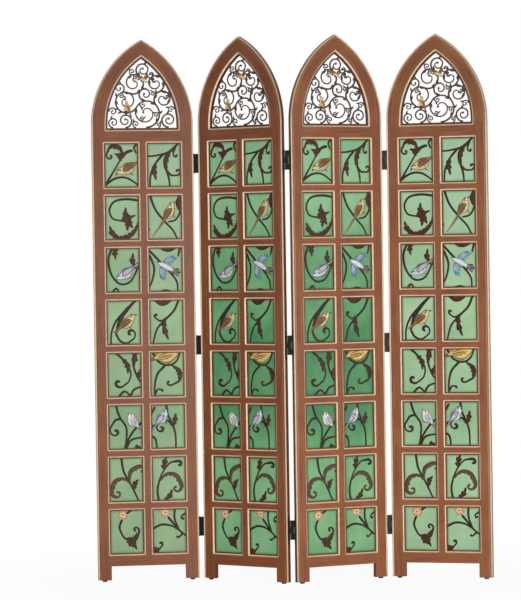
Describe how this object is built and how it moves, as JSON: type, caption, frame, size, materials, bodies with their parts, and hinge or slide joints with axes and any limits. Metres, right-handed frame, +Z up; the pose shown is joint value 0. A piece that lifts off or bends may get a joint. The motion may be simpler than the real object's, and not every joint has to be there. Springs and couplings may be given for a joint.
{
  "type": "folding screen",
  "caption": "Standing folding screen of hinged pointed-arch wooden panels with painted green boards behind a barred lattice and carved openwork tops.",
  "frame": {"origin": "on the floor, below the middle of the standing screen's box", "axes": "+Z up; -Y towards the front, the side that the middle fold points at; +X to the viewer's right"},
  "size_m": [1.3166, 0.1939, 1.805],
  "materials": {
    "walnut_frame": "satin brown stain with rubbed, lighter edges",
    "cream_bead": "satin cream paint, rubbed at the edges",
    "green_paint": "satin mottled green paint with painted vines",
    "fretwork": "satin dark brown stain",
    "hinge_metal": "satin black",
    "foot_pad": "matt black"
  },
  "bodies": {
    "panel_1": {"stile_left_1": "walnut_frame", "stile_right_1": "walnut_frame", "arch_1": "walnut_frame", "rails_1": "walnut_frame", "lattice_front_1": "walnut_frame", "lattice_back_1": "walnut_frame", "painted_board_1": "green_paint", "fretwork_1": "fretwork", "window_beads_1": "cream_bead", "edge_beads_1": "cream_bead", "feet_1": "foot_pad", "hinge_leaves_1": "hinge_metal", "hinge_screws_1": "hinge_metal"},
    "panel_2": {"stile_left_2": "walnut_frame", "stile_right_2": "walnut_frame", "arch_2": "walnut_frame", "rails_2": "walnut_frame", "lattice_front_2": "walnut_frame", "lattice_back_2": "walnut_frame", "painted_board_2": "green_paint", "fretwork_2": "fretwork", "window_beads_2": "cream_bead", "edge_beads_2": "cream_bead", "feet_2": "foot_pad", "hinge_leaves_2": "hinge_metal", "hinge_screws_2": "hinge_metal"},
    "panel_3": {"stile_left_3": "walnut_frame", "stile_right_3": "walnut_frame", "arch_3": "walnut_frame", "rails_3": "walnut_frame", "lattice_front_3": "walnut_frame", "lattice_back_3": "walnut_frame", "painted_board_3": "green_paint", "fretwork_3": "fretwork", "window_beads_3": "cream_bead", "edge_beads_3": "cream_bead", "feet_3": "foot_pad", "hinge_leaves_3": "hinge_metal", "hinge_screws_3": "hinge_metal"},
    "panel_4": {"stile_left_4": "walnut_frame", "stile_right_4": "walnut_frame", "arch_4": "walnut_frame", "rails_4": "walnut_frame", "lattice_front_4": "walnut_frame", "lattice_back_4": "walnut_frame", "painted_board_4": "green_paint", "fretwork_4": "fretwork", "window_beads_4": "cream_bead", "edge_beads_4": "cream_bead", "feet_4": "foot_pad", "hinge_leaves_4": "hinge_metal", "hinge_screws_4": "hinge_metal"},
    "link_12": {"hinge_links_12": "hinge_metal", "hinge_pins_12": "hinge_metal"},
    "link_23": {"hinge_links_23": "hinge_metal", "hinge_pins_23": "hinge_metal"},
    "link_34": {"hinge_links_34": "hinge_metal", "hinge_pins_34": "hinge_metal"}
  },
  "joints": [
    {"name": "fold_12_inner", "type": "hinge", "parent": "panel_2", "child": "link_12", "pos_m": [-0.30376, 0.08598, 0], "axis": [0, 0, 1], "range_deg": [-21.65, 68.35]},
    {"name": "fold_12_outer", "type": "hinge", "parent": "link_12", "child": "panel_1", "pos_m": [-0.323, 0.08915, 0], "axis": [0, 0, 1], "range_deg": [-21.65, 68.35]},
    {"name": "fold_23_left", "type": "hinge", "parent": "panel_2", "child": "link_23", "pos_m": [-0.00975, -0.09068, 0], "axis": [0, 0, 1], "range_deg": [-31, 59]},
    {"name": "fold_23_right", "type": "hinge", "parent": "link_23", "child": "panel_3", "pos_m": [0.00975, -0.09068, 0], "axis": [0, 0, 1], "range_deg": [-31, 59]},
    {"name": "fold_34_inner", "type": "hinge", "parent": "panel_3", "child": "link_34", "pos_m": [0.30376, 0.08598, 0], "axis": [0, 0, -1], "range_deg": [-21.65, 68.35]},
    {"name": "fold_34_outer", "type": "hinge", "parent": "link_34", "child": "panel_4", "pos_m": [0.323, 0.08915, 0], "axis": [0, 0, -1], "range_deg": [-21.65, 68.35]}
  ],
  "couplings": [
    {"joint": "fold_12_inner", "follows": "fold_12_outer", "ratio": 1},
    {"joint": "fold_23_left", "follows": "fold_23_right", "ratio": 1},
    {"joint": "fold_34_inner", "follows": "fold_34_outer", "ratio": 1}
  ]
}
